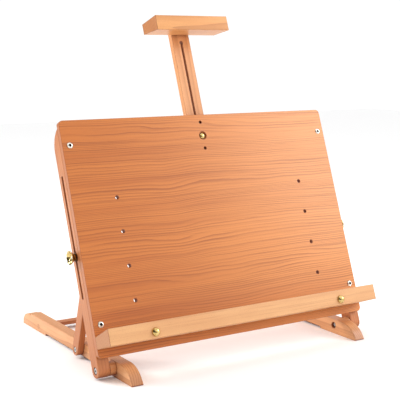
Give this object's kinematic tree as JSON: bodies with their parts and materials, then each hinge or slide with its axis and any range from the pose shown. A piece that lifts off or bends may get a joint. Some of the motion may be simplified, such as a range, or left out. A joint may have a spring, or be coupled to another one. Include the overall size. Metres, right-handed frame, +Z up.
{
  "type": "tabletop easel",
  "caption": "Wooden tabletop easel with a tilting drawing board, slotted side stays with brass knobs, a ledge and a sliding top clamp mast.",
  "frame": {"origin": "on the table, midway between the two sides and midway between the runners' front and rear ends", "axes": "+X to the user's right, +Y to the back, +Z up"},
  "size_m": [0.6778, 0.521, 0.6916],
  "materials": {
    "beech": "clear satin varnish over beech",
    "board_ply": "clear satin varnish over plywood",
    "brass": "polished and lacquered",
    "steel": "zinc plated"
  },
  "bodies": {
    "base": {"runner_left": "beech", "runner_right": "beech", "rear_crossbar": "beech", "crossbar_screws": "steel", "crossbar_plugs": "beech", "pivot_spacer_left": "beech", "pivot_spacer_right": "beech", "front_pivot_bolt_left": "brass", "front_pivot_bolt_right": "brass", "front_pivot_nut_left": "steel", "front_pivot_nut_right": "steel", "strut_pivot_bolt_left": "brass", "strut_pivot_bolt_right": "brass", "strut_pivot_nut_left": "steel", "strut_pivot_nut_right": "steel"},
    "board": {"drawing_board": "board_ply", "stile_left": "beech", "stile_right": "beech", "corner_screws": "steel", "corner_cups": "steel", "ledge": "beech", "ledge_bolt_left": "brass", "ledge_bolt_right": "brass", "ledge_washers": "steel", "mast_guide_plate": "board_ply", "mast_guide_pins": "steel", "mast_clamp_bolt": "brass", "mast_clamp_washer": "steel"},
    "mast": {"mast": "beech", "head_block": "beech", "head_screws": "steel"},
    "strut_left": {"strut_left": "beech", "strut_top_bolt_left": "steel"},
    "clamp_left": {"clamp_bolt_left": "steel", "clamp_washer_left": "steel"},
    "knob_left": {"clamp_knob_left": "brass"},
    "ledge_nut_left": {"ledge_wing_nut_left": "brass"},
    "strut_right": {"strut_right": "beech", "strut_top_bolt_right": "steel"},
    "clamp_right": {"clamp_bolt_right": "steel", "clamp_washer_right": "steel"},
    "knob_right": {"clamp_knob_right": "brass"},
    "ledge_nut_right": {"ledge_wing_nut_right": "brass"},
    "mast_nut": {"mast_wing_nut": "brass"}
  },
  "joints": [
    {"name": "board_tilt", "type": "hinge", "parent": "base", "child": "board", "pos_m": [0, -0.187, 0.018], "axis": [1, 0, 0], "range_deg": [-69.7, 3]},
    {"name": "mast_slide", "type": "slide", "parent": "board", "child": "mast", "axis": [0, 0.3469, 0.9379], "range_m": [-0.18, 0.135]},
    {"name": "strut_left_swing", "type": "hinge", "parent": "base", "child": "strut_left", "pos_m": [-0.2928, -0.044, 0.018], "axis": [1, 0, 0], "range_deg": [-107.91, 4.74]},
    {"name": "clamp_left_slide", "type": "slide", "parent": "board", "child": "clamp_left", "axis": [0, 0.3469, 0.9379], "range_m": [-0.0062, 0.1399]},
    {"name": "knob_left_turn", "type": "hinge", "parent": "clamp_left", "child": "knob_left", "pos_m": [-0.332, -0.11047, 0.2249], "axis": [1, 0, 0], "continuous": true},
    {"name": "strut_right_swing", "type": "hinge", "parent": "base", "child": "strut_right", "pos_m": [0.2928, -0.044, 0.018], "axis": [1, 0, 0], "range_deg": [-107.91, 4.74]},
    {"name": "clamp_right_slide", "type": "slide", "parent": "board", "child": "clamp_right", "axis": [0, 0.3469, 0.9379], "range_m": [-0.0062, 0.1399]},
    {"name": "knob_right_turn", "type": "hinge", "parent": "clamp_right", "child": "knob_right", "pos_m": [0.332, -0.11047, 0.2249], "axis": [1, 0, 0], "continuous": true},
    {"name": "ledge_nut_left_turn", "type": "hinge", "parent": "board", "child": "ledge_nut_left", "pos_m": [-0.227, -0.17829, 0.06894], "axis": [0, -0.9379, 0.3469], "continuous": true},
    {"name": "ledge_nut_right_turn", "type": "hinge", "parent": "board", "child": "ledge_nut_right", "pos_m": [0.227, -0.17829, 0.06894], "axis": [0, -0.9379, 0.3469], "continuous": true},
    {"name": "mast_nut_turn", "type": "hinge", "parent": "board", "child": "mast_nut", "pos_m": [0, -0.0295, 0.4308], "axis": [0, -0.9379, 0.3469], "continuous": true}
  ],
  "couplings": [
    {"joint": "strut_left_swing", "follows": "board_tilt", "ratio": 1.5468},
    {"joint": "clamp_left_slide", "follows": "board_tilt", "m_per_rad": -0.11485},
    {"joint": "strut_right_swing", "follows": "board_tilt", "ratio": 1.5468},
    {"joint": "clamp_right_slide", "follows": "board_tilt", "m_per_rad": -0.11485}
  ]
}
